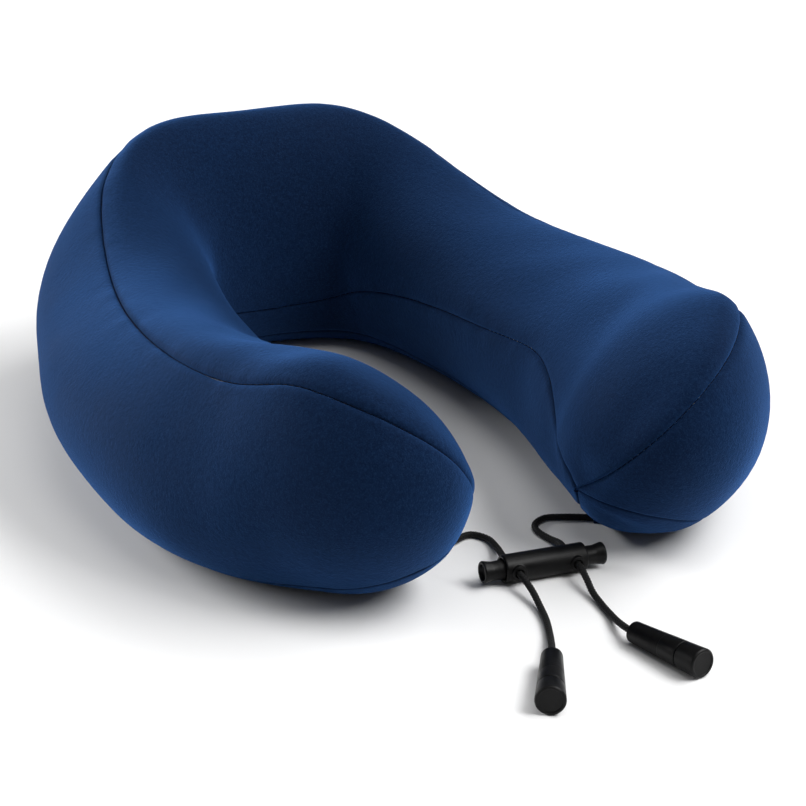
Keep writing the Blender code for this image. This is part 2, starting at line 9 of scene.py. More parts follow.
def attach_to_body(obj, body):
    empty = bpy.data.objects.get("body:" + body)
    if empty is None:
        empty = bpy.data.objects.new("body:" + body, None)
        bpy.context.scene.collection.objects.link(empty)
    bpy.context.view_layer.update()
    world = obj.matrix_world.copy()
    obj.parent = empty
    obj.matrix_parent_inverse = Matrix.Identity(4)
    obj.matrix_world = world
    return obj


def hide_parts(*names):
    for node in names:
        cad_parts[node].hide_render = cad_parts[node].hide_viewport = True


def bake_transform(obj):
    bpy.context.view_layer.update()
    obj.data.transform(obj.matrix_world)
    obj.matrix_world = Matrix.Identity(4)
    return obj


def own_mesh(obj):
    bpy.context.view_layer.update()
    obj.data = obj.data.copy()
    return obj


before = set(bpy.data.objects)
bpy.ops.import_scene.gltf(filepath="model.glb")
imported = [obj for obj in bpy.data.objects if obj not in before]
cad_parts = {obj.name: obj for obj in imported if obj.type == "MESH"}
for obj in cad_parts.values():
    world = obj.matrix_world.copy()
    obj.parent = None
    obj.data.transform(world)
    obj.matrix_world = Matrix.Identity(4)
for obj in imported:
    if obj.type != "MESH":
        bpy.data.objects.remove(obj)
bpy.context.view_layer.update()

# The looks of a u-shaped neck pillow: a sewn plush cover over a foam core, its zip, and the two elastic cords
# with their toggle and bell-shaped ends. Lengths are in metres, and +Z is up with the mouth towards -Y.
MM = 0.001

# ---------------------------------------------------------------- camera and stage
CAMERA_PLACE = (-0.4006, -0.8849, 0.4005)
CAMERA_LOOKS = (0.3962, 0.8419, -0.3665)
CAMERA_LENS = 107.2
SENSOR_WIDTH = 36.0
# Each softbox: its name, its azimuth from the front and its elevation in degrees, and its watts.
LIGHTS = (
    ("back_left", 225.0, 20.0, 50.0), ("front_right", 45.0, 45.0, 38.0),
    ("right", 90.0, 48.0, 26.0), ("top", 350.0, 72.0, 9.0),
)
LIGHT_DISTANCE = 2.2
LIGHT_SIZE = 1.3
LIGHT_AIM = (0.0, 0.0, 0.05)
WORLD_STRENGTH = 0.13
# The floor glows a little from this far out to this far, so that it stays pale where the lights fade.
FLOOR_GLOW_REACH = (1.1, 3.2)
FLOOR_GLOW = 0.75
FLOOR_HALF_SIZE = 14.0

# ---------------------------------------------------------------- cords
CORD_DIAMETER = 0.0027
CORD_STEP = 0.0003
CORD_SIDES = 30
BRAID_STRANDS = 5.0
BRAID_LAY_LENGTH = 0.0085
BRAID_RELIEF = 0.0003
BRAID_MEAN = 0.75
LEFT_ROUTE = (
    (-0.0465, -0.1190, 0.00145), (-0.0365, -0.1197, 0.00145), (-0.0255, -0.1180, 0.00145),
    (-0.0140, -0.1116, 0.0015), (-0.0060, -0.1090, 0.0015), (-0.0016, -0.1155, 0.0016),
    (-0.0029, -0.1260, 0.0026), (-0.0062, -0.1365, 0.0046), (-0.0081, -0.1443, 0.0056),
    (-0.0087, -0.1513, 0.00575), (-0.0093, -0.1593, 0.0056), (-0.0099, -0.1685, 0.0040),
    (-0.0116, -0.1780, 0.0021), (-0.0146, -0.1888, 0.0015), (-0.0193, -0.2003, 0.0017),
    (-0.0242, -0.2106, 0.0032),
)
RIGHT_ROUTE = (
    (0.0465, -0.1155, 0.00145), (0.0412, -0.1122, 0.00145), (0.0354, -0.1094, 0.00145),
    (0.0287, -0.1075, 0.0015), (0.0223, -0.1110, 0.0015), (0.0199, -0.1175, 0.0015),
    (0.0204, -0.1255, 0.0017), (0.0206, -0.1330, 0.0030), (0.0186, -0.1402, 0.0049),
    (0.0163, -0.1466, 0.00565), (0.0157, -0.1533, 0.00575), (0.0150, -0.1610, 0.0055),
    (0.0132, -0.1695, 0.0042), (0.0116, -0.1770, 0.0024), (0.0105, -0.1860, 0.0015),
    (0.0092, -0.1950, 0.0016), (0.0076, -0.2030, 0.0027),
)
# The route's point inside the toggle's hole, where a cord's loop ends and its tail begins.
LEFT_HOLE_POINT = 9
RIGHT_HOLE_POINT = 10

# ---------------------------------------------------------------- cord ends and toggle
BELL_LENGTH = 0.036
BELL_SHELL_LENGTH = 0.026
BELL_NARROW_RADIUS = 0.0040
BELL_WIDE_RADIUS = 0.0056
BELL_WALL = 0.0011
KNOT_AT = 0.0094
KNOT_RADIUS = 0.0026
BELLS = {
    "left": ((-0.0289, -0.2193, 0.0041), 240.7),
    "right": ((0.0073, -0.2145, 0.0041), 282.4),
}
TOGGLE_CENTRE = (0.0035, -0.1523, 0.00575)
TOGGLE_TURN_DEG = -4.5
BARREL_HALF = 0.0170
BARREL_RADIUS = 0.0056
BORE_RADIUS = 0.00435
BOSS_RADIUS = 0.0031
BOSS_REACH = 0.0063
HOLE_AT = 0.0122
HOLE_RADIUS = 0.00175
BUTTON_END = 0.0253
BUTTON_TRAVEL = 0.0030
STEM_RADIUS = 0.0040
STEM_INNER_END = 0.0075
SPRING_TURNS_EACH_SIDE = 3
SPRING_STEPS = 28
SPRING_RADIUS = 0.0029
SPRING_WIRE_RADIUS = 0.0003
SPRING_HALF_LENGTH = STEM_INNER_END - 0.0006
MOULD_VOXEL = 0.00019
MOULDED_CORNER = 0.00035
SHARP_EDGE_DEG = 38.0

# ---------------------------------------------------------------- pillow, in millimetres, nape to tip
SPINE_X = (0.0, 57.0, 84.5, 99.0, 85.5, 70.5)
SPINE_Y = (146.0, 133.5, 72.0, -23.5, -89.5, -129.0)
HALF_WIDTH = (29.0, 37.0, 42.5, 53.0, 51.0, 42.0)
TOP_HEIGHT = (115.0, 114.5, 81.0, 80.5, 88.5, 100.0)
WIDEST_HEIGHT = (50.0, 51.5, 50.0, 43.0, 33.0, 45.0)
LEAN = (0.0, 5.0, 4.0, 4.5, 2.0, 14.0)
CREST_SHIFT = (-3.0, 2.0, -3.0, 1.0, 6.5, 9.0)
OUTER_SEAM_DEG = (60.0, 76.0, 73.0, 77.0, 66.0, 69.0)
NECK_SEAM_DEG = (212.0, 202.5, 184.5, 162.0, 147.5, 191.0)
NECK_BASE_SEAM_DEG = 228.0
SIDE_BASE_SEAM_DEG = (335.5, 334.0, 318.0, 303.0, 300.0, 300.0)
TOP_ROUNDNESS = 1.62
BASE_ROUNDNESS = (2.4, 2.4, 2.4, 2.6, 2.6, 2.0)
BASE_SINK = 2.5
CAGE_SWELL = 2.0
TIP_LENGTH = 60.0
TIP_ROUNDNESS = 1.75
TIP_MIDDLE_HEIGHT = 61.0
SEAM_POINT = (-0.80, -0.45)
BODY_RINGS = 15
TIP_RINGS = (0.94, 0.76, 0.46, 0.16)
PANEL_ROWS = {"top": 5, "neck": 2, "base": 5, "side": 3}

# Sewing and stuffing.
COVER_THICKNESS = 1.2 * MM
FOAM_INSET = 3.6
FOAM_MARK_DEPTH = 0.3 * MM
# How deep each seam sits: at a panel's first edge, named for the panel that it starts.
SEAM_DEPTH = {"top": 1.8 * MM, "neck": 1.6 * MM, "base": 1.0 * MM, "side": 0.8 * MM}
SEAM_SHOULDER_RATIO = 1.8
PUCKER_DEPTH = 0.14 * MM
PUCKER_REACH = 7.0 * MM
PUCKER_SPACING = 6.5 * MM
STITCH_LENGTH = 2.3 * MM
STITCH_GAP = 1.0 * MM
STITCH_RADIUS = 0.24 * MM
# Places across a panel near its seam, in rows of the form.
SEAM_STEPS = (0.0, 0.012, 0.03, 0.055, 0.085, 0.12, 0.165, 0.22, 0.29, 0.37, 0.47, 0.58, 0.70, 0.84, 1.0)
PANEL_STEP = 0.13
PANEL_GAP = 0.12 * MM
INSIDE_LOWEST = 0.6 * MM
# Unevenness fades to this share at the floor, over this height.
FLOOR_SHARE = 0.35
FLOOR_FADE = 6.0 * MM

# Cloth simulation of the cover.
CLOTH_RINGS = 150
CLOTH_STEPS_PER_ROW = 4
CLOTH_START_INSET = 1.0 * MM
CLOTH_FLAT_BASE = 3.5 * MM
CLOTH_FRAMES = 20
SWELL_LIMIT = 2.0 * MM
RELIEF_PASSES = 5

# Zip on the lower outer wall at the back, a strip of a cone about a vertical axis.
ZIP_AXIS_Y = 12.4
ZIP_HALF_ANGLE_DEG = 20.0
ZIP_MIDDLE_HEIGHT = 24.0
ZIP_MIDDLE_RADIUS = 161.9
ZIP_WALL_SLOPE_DEG = 15.0
TAPE_WIDTH = 6.0
TAPE_THICKNESS = 0.8
COIL_RADIUS = 1.0
COIL_PITCH = 1.25
COIL_STEPS = 12
MONOFILAMENT_RADIUS = 0.24 * MM
COIL_MARGIN_DEG = 1.0
METAL_EDGE = 0.18 * MM
# The plush edge round the zip's opening, and where the cover is held flat round it.
WELT_MARGIN = 4.2
WELT_HALF_HEIGHT = 6.9
WELT_CORNER = 4.5
WELT_HALF_WIDTH = 2.1
WELT_RISE = 1.9
WELT_OUT = -0.3
WELT_STEP = 0.8
WELT_SIDES = 16
ZIP_HOLD_HALF_LENGTH = 62.0 * MM
ZIP_HOLD_HALF_HEIGHT = 10.5 * MM
ZIP_HOLD_FADE = 12.0 * MM


# ---------------------------------------------------------------- mesh helpers
def link_object(name, data):
    item = bpy.data.objects.new(name, data)
    bpy.context.scene.collection.objects.link(item)
    return item


def new_mesh_object(name, points, faces, surface, smooth=True):
    mesh = bpy.data.meshes.new(name)
    mesh.from_pydata([tuple(p) for p in points], [], [tuple(int(i) for i in f) for f in faces])
    mesh.update()
    if surface is not None:
        mesh.materials.append(surface)
    if smooth:
        mesh.shade_smooth()
    return link_object(name, mesh)


def clean(item, merge=1e-6):
    """Turns the faces outwards, after merging doubled points and dropping empty faces unless merge is 0."""
    work = bmesh.new()
    work.from_mesh(item.data)
    if merge:
        bmesh.ops.remove_doubles(work, verts=work.verts, dist=merge)
        bmesh.ops.dissolve_degenerate(work, edges=work.edges, dist=merge * 0.1)
    bmesh.ops.recalc_face_normals(work, faces=work.faces)
    work.to_mesh(item.data)
    work.free()
    item.data.shade_smooth()
    return item


def grid_faces(rows, columns, close_columns=False, close_rows=False):
    """Quads over a rows x columns grid of points stored row by row."""
    row_count = rows if close_rows else rows - 1
    column_count = columns if close_columns else columns - 1
    i, j = np.meshgrid(np.arange(row_count), np.arange(column_count), indexing="ij")
    here = i * columns
    below = (i + 1) % rows * columns
    after = (j + 1) % columns
    return np.stack([here + j, here + after, below + after, below + j], axis=-1).reshape(-1, 4).tolist()


def capped_tube_faces(rings, sides):
    ends = [list(range(sides)), [(rings - 1) * sides + k for k in reversed(range(sides))]]
    return grid_faces(rings, sides, True) + ends


def unit(vectors):
    length = np.linalg.norm(vectors, axis=-1, keepdims=True)
    return vectors / np.maximum(length, 1e-12)


def lengths_along(path):
    """The distance along the path from its start to each of its points."""
    return np.concatenate([[0.0], np.cumsum(np.linalg.norm(np.diff(path, axis=0), axis=1))])


def read_at(path, along, places):
    """The path's points at those distances from its start."""
    return np.stack([np.interp(places, along, path[:, axis]) for axis in range(3)], axis=1)


def sweep(path, radius, sides, relief=None):
    """Points and faces of a closed round tube along a path; relief(turn, along) adds to its radius."""
    path = np.asarray(path, float)
    tangent = unit(np.gradient(path, axis=0))
    across = np.zeros_like(path)
    start = np.array((0.0, 0.0, 1.0)) if abs(tangent[0][2]) < 0.9 else np.array((1.0, 0.0, 0.0))
    across[0] = unit(start - tangent[0] * np.dot(start, tangent[0]))
    for i in range(1, len(path)):
        across[i] = unit(across[i - 1] - tangent[i] * np.dot(across[i - 1], tangent[i]))
    other = np.cross(tangent, across)
    along = lengths_along(path)
    turn = 2.0 * np.pi * np.arange(sides) / sides
    size = np.full((len(path), sides), float(radius))
    if relief is not None:
        size += relief(turn[None, :], along[:, None])
    ring = np.cos(turn)[None, :, None] * across[:, None, :] + np.sin(turn)[None, :, None] * other[:, None, :]
    points = path[:, None, :] + ring * size[:, :, None]
    return points.reshape(-1, 3), capped_tube_faces(len(path), sides)


def tube(name, path, radius, sides, surface, relief=None):
    points, faces = sweep(path, radius, sides, relief)
    return clean(new_mesh_object(name, points, faces, surface))


def many_tubes(name, paths, radius, sides, surface):
    """One piece made of many short separate tubes, such as a row of stitches."""
    points, faces, count = [], [], 0
    for path in paths:
        some, quads = sweep(path, radius, sides)
        points.append(some)
        faces += [[index + count for index in face] for face in quads]
        count += len(some)
    return new_mesh_object(name, np.concatenate(points), faces, surface)


def smooth_line(route, spacing):
    """A Catmull-Rom curve through the route's points, read at even steps of about the spacing."""
    route = np.asarray(route, float)
    ends = np.concatenate([[2 * route[0] - route[1]], route, [2 * route[-1] - route[-2]]])
    dense = []
    for p0, p1, p2, p3 in zip(ends, ends[1:], ends[2:], ends[3:]):
        for f in np.linspace(0.0, 1.0, 40, endpoint=False):
            slope_in = (p2 - p0) / 2.0
            slope_out = (p3 - p1) / 2.0
            dense.append(
                (2 * f ** 3 - 3 * f ** 2 + 1) * p1 + (f ** 3 - 2 * f ** 2 + f) * slope_in
                + (-2 * f ** 3 + 3 * f ** 2) * p2 + (f ** 3 - f ** 2) * slope_out
            )
    dense.append(route[-1])
    dense = np.array(dense)
    along = lengths_along(dense)
    count = int(round(along[-1] / spacing))
    return read_at(dense, along, np.linspace(0.0, along[-1], count + 1))


def lathe(name, profile, surface, place, steps=72, rounding=0.0):
    """A solid turned about its own X from (radius, along) points; corners may be rounded."""
    outline = round_corners(profile, rounding) if rounding else list(profile)
    points = []
    for radius, along in outline:
        for k in range(steps):
            turn = 2.0 * math.pi * k / steps
            points.append((along, radius * math.cos(turn), radius * math.sin(turn)))
    ring_shaped = profile[0][0] > 0.0
    faces = grid_faces(len(outline), steps, True, ring_shaped)
    item = clean(new_mesh_object(name, points, faces, surface))
    item.data.set_sharp_from_angle(angle=math.radians(SHARP_EDGE_DEG))
    item.matrix_world = place
    return item


def round_corners(profile, size):
    """Each inner corner of an open outline is replaced by a short arc of up to that size."""
    made = [profile[0]]
    for before, here, after in zip(profile, profile[1:], profile[2:]):
        a = Vector(before) - Vector(here)
        b = Vector(after) - Vector(here)
        reach = min(size, a.length * 0.45, b.length * 0.45)
        if a.length < 1e-9 or b.length < 1e-9 or reach < 1e-6:
            made.append(here)
            continue
        start = Vector(here) + a.normalized() * reach
        end = Vector(here) + b.normalized() * reach
        for f in (0.0, 0.25, 0.5, 0.75, 1.0):
            made.append(tuple(start * (1 - f) ** 2 + Vector(here) * 2 * f * (1 - f) + end * f ** 2))
    made.append(profile[-1])
    return made


def apply_modifiers(item):
    evaluated = item.evaluated_get(bpy.context.evaluated_depsgraph_get())
    made = bpy.data.meshes.new_from_object(evaluated)
    item.modifiers.clear()
    item.data = made


def cut(item, cutter, operation="DIFFERENCE"):
    modifier = item.modifiers.new("cut", "BOOLEAN")
    modifier.operation = operation
    modifier.object = cutter
    bpy.context.view_layer.update()
    apply_modifiers(item)
    bpy.data.objects.remove(cutter, do_unlink=True)


def block_cutter(size, centre, rounding):
    mesh = bpy.data.meshes.new("cutter")
    work = bmesh.new()
    bmesh.ops.create_cube(work, size=1.0, matrix=Matrix.Diagonal((*size, 1.0)))
    bmesh.ops.bevel(work, geom=work.edges[:], offset=rounding, segments=4, profile=0.5, affect="EDGES")
    work.to_mesh(mesh)
    work.free()
    mesh.shade_smooth()
    item = link_object("cutter", mesh)
    item.matrix_world = Matrix.Translation(centre)
    return item


def mould(item):
    """Remeshes a cut solid finely and relaxes it, which leaves small moulded fillets on its edges."""
    remesh = item.modifiers.new("mould", "REMESH")
    remesh.mode = "VOXEL"
    remesh.voxel_size = MOULD_VOXEL
    relax = item.modifiers.new("relax", "SMOOTH")
    relax.factor = 0.5
    relax.iterations = 5
    bpy.context.view_layer.update()
    apply_modifiers(item)
    item.data.shade_smooth()


def attach(piece, body, node=None):
    """Rides a piece on its body, and hides the CAD node it stands for."""
    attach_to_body(piece, body)
    if node is not None:
        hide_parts(node)


# ---------------------------------------------------------------- material helpers
class Surface:
    """A node material: add() makes a node, put() fills a socket, and shader is the Principled node."""

    def __init__(self, name):
        self.material = bpy.data.materials.new(name)
        self.material.use_nodes = True
        self.tree = self.material.node_tree
        self.shader = self.tree.nodes["Principled BSDF"]
        self.place = self.add("ShaderNodeTexCoord").outputs["Object"]

    def put(self, socket, value):
        """Links another node's output to the socket, or sets its number or colour."""
        if isinstance(value, bpy.types.NodeSocket):
            self.tree.links.new(value, socket)
        elif socket.type == "RGBA":
            socket.default_value = (*value[:3], 1.0)
        else:
            socket.default_value = value

    def add(self, kind, settings=None, **values):
        made = self.tree.nodes.new(kind)
        for key, value in (settings or {}).items():
            setattr(made, key, value)
        for key, value in values.items():
            self.put(made.inputs[key.replace("_", " ")], value)
        return made

    def noise(self, scale, detail=2.0, roughness=0.5, stretch=None):
        where = self.place
        if stretch is not None:
            where = self.add("ShaderNodeMapping", Vector=where, Scale=stretch).outputs["Vector"]
        made = self.add("ShaderNodeTexNoise", Vector=where, Scale=scale, Detail=detail, Roughness=roughness)
        return made.outputs["Fac"]

    def spread(self, source, low, high, to_low=0.0, to_high=1.0):
        made = self.add("ShaderNodeMapRange")
        for socket, value in zip(made.inputs, (source, low, high, to_low, to_high)):
            self.put(socket, value)
        return made.outputs[0]

    def mix(self, factor, first, second):
        made = self.add("ShaderNodeMix", {"data_type": "RGBA"})
        for index, value in ((0, factor), (6, first), (7, second)):
            self.put(made.inputs[index], value)
        return made.outputs[2]

    def multiply(self, first, second):
        made = self.add("ShaderNodeMath", {"operation": "MULTIPLY"})
        for socket, value in zip(made.inputs, (first, second)):
            self.put(socket, value)
        return made.outputs[0]

    def bump(self, height, strength, distance, **under):
        made = self.add("ShaderNodeBump", Height=height, Strength=strength, Distance=distance, **under)
        return made.outputs["Normal"]

    def finish(self, **values):
        for key, value in values.items():
            self.put(self.shader.inputs[key.replace("_", " ")], value)
        return self.material


def plush_material():
    """Navy micro plush: short dense pile with brushed patches, fine grain and a blue sheen."""
    made = Surface("plush_navy")
    nap = made.spread(made.noise(26.0, 3.0, 0.55), 0.32, 0.68)
    grain = made.spread(made.noise(620.0, 2.0, 0.65), 0.30, 0.70)
    fleck = made.spread(made.noise(1500.0, 1.0, 0.5), 0.50, 0.72)
    colour = made.mix(nap, (0.0031, 0.0117, 0.0375), (0.0038, 0.0140, 0.0440))
    colour = made.mix(made.multiply(grain, 0.85), colour, (0.0016, 0.0066, 0.0235))
    colour = made.mix(made.multiply(fleck, 0.50), colour, (0.0085, 0.0250, 0.0690))
    pile = made.bump(made.noise(1700.0, 2.0, 0.7), 0.60, 0.00030)
    return made.finish(
        Base_Color=colour, Roughness=made.spread(nap, 0.0, 1.0, 0.80, 0.92),
        Normal=made.bump(made.noise(480.0, 3.0, 0.6), 0.42, 0.0005, Normal=pile),
        Sheen_Weight=0.40, Sheen_Roughness=0.45, Sheen_Tint=(0.11, 0.35, 1.0), Specular_IOR_Level=0.04,
    )


def foam_material():
    """Cream moulded foam: open cells as small pits under a thin skin."""
    made = Surface("foam_cream")
    cells = made.add("ShaderNodeTexVoronoi", Vector=made.place, Scale=900.0)
    shade = made.spread(made.noise(30.0, 3.0), 0.35, 0.65)
    return made.finish(
        Base_Color=made.mix(shade, (0.78, 0.70, 0.47), (0.86, 0.80, 0.60)),
        Normal=made.bump(cells.outputs["Distance"], 0.5, 0.0006), Roughness=0.88, Subsurface_Weight=0.08,
    )


def plastic_material():
    """Black satin moulded plastic: fine spark-eroded grain, faint flow marks and rubbed patches."""
    made = Surface("plastic_black")
    wear = made.spread(made.noise(420.0, 4.0, 0.6), 0.45, 0.75)
    rub = made.spread(made.noise(95.0, 3.0, 0.6), 0.40, 0.70)
    grain = made.bump(made.noise(4200.0, 2.0, 0.6), 0.22, 0.00008)
    return made.finish(
        Base_Color=made.mix(wear, (0.0022, 0.0022, 0.0024), (0.0048, 0.0048, 0.0052)),
        Roughness=made.spread(rub, 0.0, 1.0, 0.34, 0.50),
        Normal=made.bump(made.noise(300.0, 2.0, 0.5, (0.25, 1.0, 1.0)), 0.10, 0.0002, Normal=grain),
        Specular_IOR_Level=0.16,
    )


def cord_material():
    """Black polyester braid: thread strands with a slight lustre."""
    made = Surface("cord_black")
    fibre = made.noise(5200.0, 2.0, 0.6, (1.0, 1.0, 0.5))
    return made.finish(
        Base_Color=made.mix(made.spread(fibre, 0.3, 0.7), (0.0015, 0.0015, 0.0017), (0.0050, 0.0050, 0.0055)),
        Normal=made.bump(fibre, 0.6, 0.0001),
        Roughness=0.62, Sheen_Weight=0.06, Sheen_Roughness=0.4, Specular_IOR_Level=0.25,
    )


def tape_material():
    """Navy woven zip tape: a fine criss-cross of yarns."""
    made = Surface("zip_tape_navy")
    yarns = []
    for direction in ("X", "Z"):
        yarn = made.add(
            "ShaderNodeTexWave", {"bands_direction": direction}, Vector=made.place, Scale=900.0, Distortion=1.2
        )
        yarns.append(yarn.outputs["Fac"])
    weave = made.multiply(*yarns)
    return made.finish(
        Base_Color=made.mix(weave, (0.0040, 0.0110, 0.0340), (0.0100, 0.0270, 0.0760)),
        Normal=made.bump(weave, 0.6, 0.0002), Roughness=0.9, Specular_IOR_Level=0.1,
        Sheen_Weight=0.1, Sheen_Roughness=0.5, Sheen_Tint=(0.1, 0.3, 1.0),
    )


def coil_material():
    """Navy nylon coil: a smooth monofilament with a faint mottle."""
    made = Surface("zip_coil_navy")
    tone = made.spread(made.noise(700.0, 2.0), 0.35, 0.65)
    return made.finish(
        Base_Color=made.mix(tone, (0.0070, 0.0190, 0.0560), (0.0120, 0.0320, 0.0900)),
        Normal=made.bump(made.noise(2600.0, 2.0), 0.15, 0.0001), Roughness=0.42, Specular_IOR_Level=0.3,
    )


def steel_material():
    """Nickel-plated zinc: brushed along its length, with darker worn specks."""
    made = Surface("steel_nickel")
    brushed = made.noise(1400.0, 3.0, 0.6, (0.15, 1.0, 1.0))
    specks = made.spread(made.noise(600.0, 4.0, 0.7), 0.58, 0.72)
    return made.finish(
        Base_Color=made.mix(specks, (0.36, 0.355, 0.345), (0.20, 0.195, 0.19)),
        Roughness=made.spread(brushed, 0.3, 0.7, 0.24, 0.42),
        Normal=made.bump(brushed, 0.25, 0.0001), Metallic=1.0,
    )


def thread_material():
    """Dark navy polyester thread with a twist."""
    made = Surface("thread_navy")
    twist = made.noise(6500.0, 2.0, 0.6)
    return made.finish(
        Base_Color=made.mix(made.spread(twist, 0.3, 0.7), (0.0006, 0.0018, 0.0080), (0.0018, 0.0055, 0.0200)),
        Normal=made.bump(twist, 0.5, 0.0001), Roughness=0.8, Specular_IOR_Level=0.08,
    )


def floor_material():
    made = Surface("floor_pale")
    tone = made.spread(made.noise(3.0, 2.0), 0.3, 0.7)
    away = made.add("ShaderNodeVectorMath", {"operation": "LENGTH"})
    made.put(away.inputs[0], made.place)
    return made.finish(
        Base_Color=made.mix(tone, (0.86, 0.86, 0.86), (0.88, 0.88, 0.88)), Roughness=0.9,
        Specular_IOR_Level=0.1, Emission_Color=(1.0, 1.0, 1.0),
        Emission_Strength=made.spread(away.outputs["Value"], *FLOOR_GLOW_REACH, 0.0, FLOOR_GLOW),
    )


# ---------------------------------------------------------------- camera, floor and lights
def aim(item, place, direction):
    item.location = place
    item.rotation_mode = "QUATERNION"
    item.rotation_quaternion = Vector(direction).to_track_quat("-Z", "Y")


def add_camera():
    data = bpy.data.cameras.new("camera")
    data.lens = CAMERA_LENS
    data.sensor_width = SENSOR_WIDTH
    camera = link_object("camera", data)
    aim(camera, CAMERA_PLACE, CAMERA_LOOKS)
    bpy.context.scene.camera = camera


def add_floor():
    half = FLOOR_HALF_SIZE
    corners = [(-half, -half, 0.0), (half, -half, 0.0), (half, half, 0.0), (-half, half, 0.0)]
    new_mesh_object("floor", corners, [(0, 1, 2, 3)], floor_material(), smooth=False)


def add_light(name, azimuth_deg, elevation_deg, watts):
    """A large round softbox aimed at the pillow; azimuth 0 is in front of the opening, 90 on the right."""
    azimuth = math.radians(azimuth_deg)
    elevation = math.radians(elevation_deg)
    level = LIGHT_DISTANCE * math.cos(elevation)
    height = LIGHT_DISTANCE * math.sin(elevation)
    place = Vector((level * math.sin(azimuth), -level * math.cos(azimuth), height))
    data = bpy.data.lights.new(name, "AREA")
    data.shape = "DISK"
    data.size = LIGHT_SIZE
    data.energy = watts
    aim(link_object(name, data), place, Vector(LIGHT_AIM) - place)


def add_world():
    world = bpy.data.worlds.new("studio")
    world.use_nodes = True
    background = world.node_tree.nodes["Background"]
    background.inputs["Color"].default_value = (1.0, 1.0, 1.0, 1.0)
    background.inputs["Strength"].default_value = WORLD_STRENGTH
    bpy.context.scene.world = world


# ---------------------------------------------------------------- cords
def braid(turn, along):
    """Radius relief of a round braid: two families of strands that pass over and under each other."""
    across = BRAID_STRANDS * turn
    lengthwise = 2.0 * math.pi * BRAID_STRANDS / BRAID_LAY_LENGTH * along
    over = 1.0 / (1.0 + np.exp(-5.0 * np.cos(across) * np.cos(lengthwise)))
    first = 0.5 * (1.0 + np.cos(across + lengthwise))
    second = 0.5 * (1.0 + np.cos(across - lengthwise))
    return BRAID_RELIEF * (first * over + second * (1.0 - over) - BRAID_MEAN)


def bell_place(side):
    """Own X along the bell from its narrow end; it lies on its slanted side."""
    start, heading_deg = BELLS[side]
    rise = math.atan2(BELL_WIDE_RADIUS - BELL_NARROW_RADIUS, BELL_LENGTH)
    turn = Matrix.Rotation(math.radians(heading_deg), 4, "Z") @ Matrix.Rotation(-rise, 4, "Y")
    return Matrix.Translation(start) @ turn


def add_cord(side, route, hole_point, surface):
    """The cord in two stretches that meet in the toggle's hole: the loop from its root, and the tail."""
    place = bell_place(side)
    stops = (-0.0035, 0.0, 0.0035, KNOT_AT - KNOT_RADIUS)
    inside = [tuple(place @ Vector((along, 0.0, 0.0))) for along in stops]
    points = [*route, *inside]
    whole = smooth_line(points, CORD_STEP)
    split = int(np.argmin(np.linalg.norm(whole - np.array(points[hole_point]), axis=1)))
    pieces = []
    for name, path in (("loop", whole[: split + 1]), ("tail", whole[split:])):
        piece = tube(f"cord_{name}_{side}", path, CORD_DIAMETER / 2.0 - 0.00003, CORD_SIDES, surface, braid)
        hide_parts(f"cord_{side}")
        pieces.append((piece, path))
    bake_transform(pieces[0][0])
    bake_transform(pieces[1][0])
    return pieces


# ---------------------------------------------------------------- toggle
def cylinder_cutter(radius, length, axis, centre=(0, 0, 0), steps=48):
    profile = ((0.0, -length / 2), (radius, -length / 2), (radius, length / 2), (0.0, length / 2))
    turn = Vector((1, 0, 0)).rotation_difference(Vector(axis)).to_matrix().to_4x4()
    return lathe("cutter", profile, None, Matrix.Translation(centre) @ turn, steps)


def add_barrel(place, plastic):
    """A tube with a flat boss round each of the two cord holes."""
    half = BARREL_HALF
    rim = BARREL_RADIUS - 0.0004
    outline = (
        (0.0, -half), (rim, -half), (BARREL_RADIUS, -half + 0.0005),
        (BARREL_RADIUS, half - 0.0005), (rim, half), (0.0, half),
    )
    barrel = lathe("toggle_barrel_moulded", outline, plastic, Matrix.Identity(4), 96)
    holes = [(side * HOLE_AT, 0, 0) for side in (-1.0, 1.0)]
    for hole in holes:
        cut(barrel, cylinder_cutter(BOSS_RADIUS, 2 * BOSS_REACH, (0, 1, 0), hole), "UNION")
    cut(barrel, cylinder_cutter(BORE_RADIUS, 4 * BARREL_HALF, (1, 0, 0), steps=64))
    for hole in holes:
        cut(barrel, cylinder_cutter(HOLE_RADIUS, 0.02, (0, 1, 0), hole))
    mould(barrel)
    barrel.matrix_world = place
    attach(barrel, "toggle", "toggle_barrel")
    return barrel


def add_button(name, turn_deg, place, plastic):
    """A push button: a flared head with a dished end, and a stem with a slot for its cord."""
    end = BUTTON_END
    outline = (
        (0.0, end - 0.0014), (0.0029, end - 0.0014), (0.0033, end), (0.0042, end), (0.00445, end - 0.0006),
        (0.0041, end - 0.0021), (0.0037, end - 0.0040), (0.0037, end - 0.0055),
        (STEM_RADIUS, BARREL_HALF - 0.0006), (STEM_RADIUS, STEM_INNER_END + 0.0004),
        (STEM_RADIUS - 0.0004, STEM_INNER_END), (0.0, STEM_INNER_END),
    )
    button = lathe(f"toggle_button_{name}_moulded", outline, plastic, Matrix.Identity(4), 64, MOULDED_CORNER)
    slot_size = (2 * HOLE_RADIUS + BUTTON_TRAVEL, 0.012, 2 * HOLE_RADIUS)
    cut(button, block_cutter(slot_size, (HOLE_AT + BUTTON_TRAVEL / 2.0, 0, 0), 0.0008))
    button.data.set_sharp_from_angle(angle=math.radians(SHARP_EDGE_DEG))
    button.matrix_world = place @ Matrix.Rotation(math.radians(turn_deg), 4, "Z")
    attach(button, f"button_{name}", f"toggle_button_{name}")
    return button


